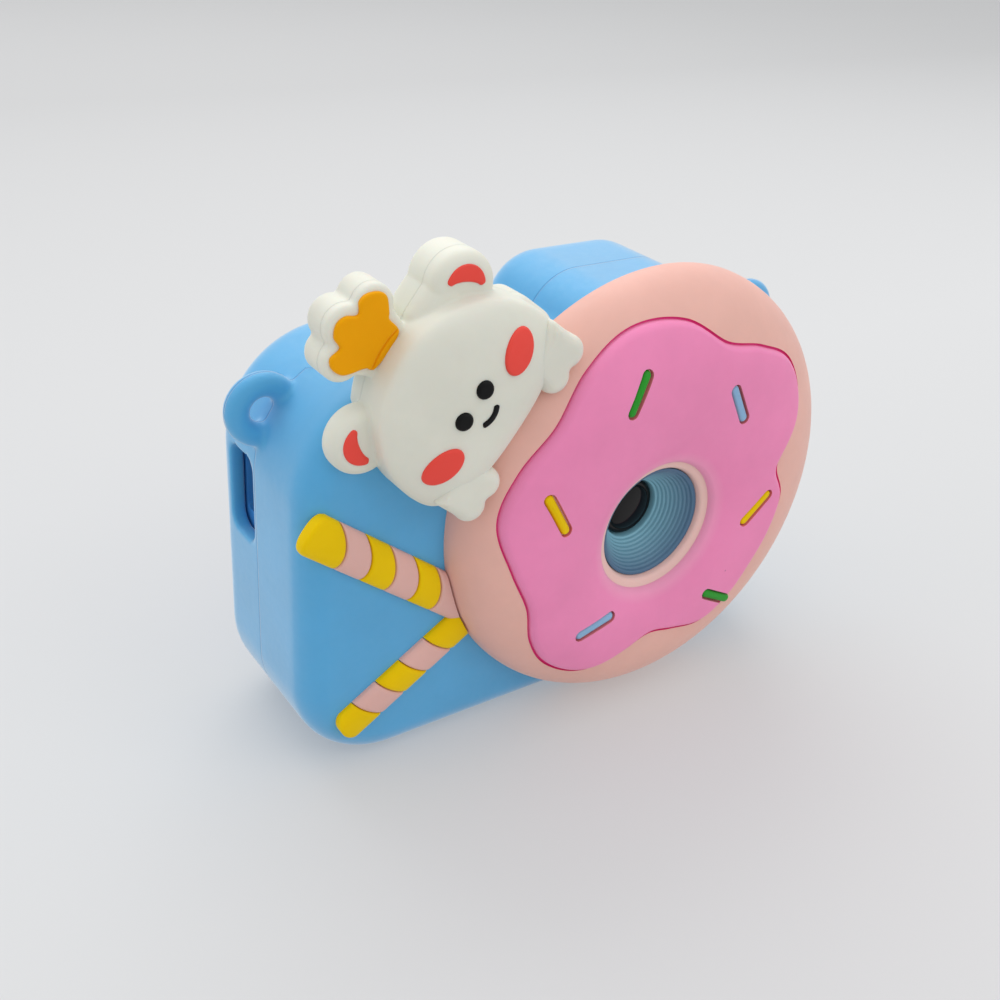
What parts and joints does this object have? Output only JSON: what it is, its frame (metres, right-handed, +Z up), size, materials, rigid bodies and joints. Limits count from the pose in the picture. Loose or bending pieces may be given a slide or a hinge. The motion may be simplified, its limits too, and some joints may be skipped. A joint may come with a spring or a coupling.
{
  "type": "kids digital camera",
  "caption": "Kids digital camera in a soft sleeve with a doughnut ring round the lens, a cartoon bear on one corner, rear screen and push keys.",
  "frame": {"origin": "middle of the flat base", "axes": "-Y is the way the lens looks, +X to the viewer's right when facing the lens, +Z up"},
  "size_m": [0.1031, 0.0402, 0.0801],
  "materials": {
    "blue_silicone": "matte",
    "cream_silicone": "matte",
    "pink_silicone": "matte",
    "white_silicone": "matte",
    "gold_silicone": "matte",
    "yellow_silicone": "matte",
    "blush_silicone": "matte",
    "green_silicone": "matte",
    "sky_silicone": "matte",
    "red_silicone": "matte",
    "black_silicone": "satin",
    "teal_plastic": "satin",
    "slate_plastic": "satin",
    "white_plastic": "gloss",
    "blue_plastic": "gloss",
    "pink_plastic": "gloss",
    "black_plastic": "gloss",
    "dark_plastic": "matte",
    "lens_glass": "gloss",
    "screen_glass": "gloss",
    "circuit_board": "matte",
    "battery_wrap": "satin",
    "bright_steel": "satin"
  },
  "bodies": {
    "camera": {"silicone_sleeve": "blue_silicone", "donut_ring": "cream_silicone", "donut_icing": "pink_silicone", "sprinkle_green_top": "green_silicone", "sprinkle_green_bottom": "green_silicone", "sprinkle_blue_top": "sky_silicone", "sprinkle_blue_bottom": "sky_silicone", "sprinkle_yellow_left": "yellow_silicone", "sprinkle_yellow_right": "yellow_silicone", "bear_head": "white_silicone", "paw_left": "white_silicone", "paw_right": "white_silicone", "bear_crown": "gold_silicone", "inner_ear_left": "red_silicone", "inner_ear_right": "red_silicone", "cheek_left": "red_silicone", "cheek_right": "red_silicone", "eye_left": "black_silicone", "eye_right": "black_silicone", "bear_smile": "black_silicone", "horn_stripe_1": "yellow_silicone", "horn_stripe_2": "blush_silicone", "horn_stripe_3": "yellow_silicone", "horn_stripe_4": "blush_silicone", "horn_stripe_5": "yellow_silicone", "horn_stripe_6": "blush_silicone", "straw_stripe_1": "yellow_silicone", "straw_stripe_2": "blush_silicone", "straw_stripe_3": "yellow_silicone", "straw_stripe_4": "blush_silicone", "straw_stripe_5": "yellow_silicone", "front_housing": "teal_plastic", "rear_housing": "teal_plastic", "lens_cone": "slate_plastic", "lens_bezel": "black_plastic", "lens_glass": "lens_glass", "camera_module": "dark_plastic", "main_board": "circuit_board", "battery": "battery_wrap", "lcd_module": "dark_plastic", "screen_window": "screen_glass", "speaker": "dark_plastic", "key_board": "dark_plastic", "usb_port": "bright_steel", "card_slot": "bright_steel", "back_screw_1": "bright_steel", "back_screw_2": "bright_steel", "back_screw_3": "bright_steel", "back_screw_4": "bright_steel"},
    "shutter_button": {"shutter_button": "pink_plastic"},
    "power_button": {"power_button": "white_plastic"},
    "up_button": {"up_button": "blue_plastic"},
    "down_button": {"down_button": "blue_plastic"},
    "left_button": {"left_button": "blue_plastic"},
    "right_button": {"right_button": "blue_plastic"},
    "ok_button": {"ok_button": "pink_plastic"},
    "mode_button": {"mode_button": "blue_plastic"},
    "playback_button": {"playback_button": "blue_plastic"},
    "micro_sd_card": {"micro_sd_card": "black_plastic"}
  },
  "joints": [
    {"name": "shutter_press", "type": "slide", "parent": "camera", "child": "shutter_button", "axis": [0, 0, -1], "range_m": [0, 0.001], "stiffness_N_per_m": 1200},
    {"name": "power_press", "type": "slide", "parent": "camera", "child": "power_button", "axis": [0, 0, -1], "range_m": [0, 0.001], "stiffness_N_per_m": 1200},
    {"name": "up_press", "type": "slide", "parent": "camera", "child": "up_button", "axis": [0, -1, 0], "range_m": [0, 0.0006], "stiffness_N_per_m": 1200},
    {"name": "down_press", "type": "slide", "parent": "camera", "child": "down_button", "axis": [0, -1, 0], "range_m": [0, 0.0006], "stiffness_N_per_m": 1200},
    {"name": "left_press", "type": "slide", "parent": "camera", "child": "left_button", "axis": [0, -1, 0], "range_m": [0, 0.0006], "stiffness_N_per_m": 1200},
    {"name": "right_press", "type": "slide", "parent": "camera", "child": "right_button", "axis": [0, -1, 0], "range_m": [0, 0.0006], "stiffness_N_per_m": 1200},
    {"name": "ok_press", "type": "slide", "parent": "camera", "child": "ok_button", "axis": [0, -1, 0], "range_m": [0, 0.0006], "stiffness_N_per_m": 1200},
    {"name": "mode_press", "type": "slide", "parent": "camera", "child": "mode_button", "axis": [0, -1, 0], "range_m": [0, 0.0006], "stiffness_N_per_m": 1200},
    {"name": "playback_press", "type": "slide", "parent": "camera", "child": "playback_button", "axis": [0, -1, 0], "range_m": [0, 0.0006], "stiffness_N_per_m": 1200},
    {"name": "card_slide", "type": "slide", "parent": "camera", "child": "micro_sd_card", "axis": [-1, 0, 0], "range_m": [0, 0.012]}
  ]
}
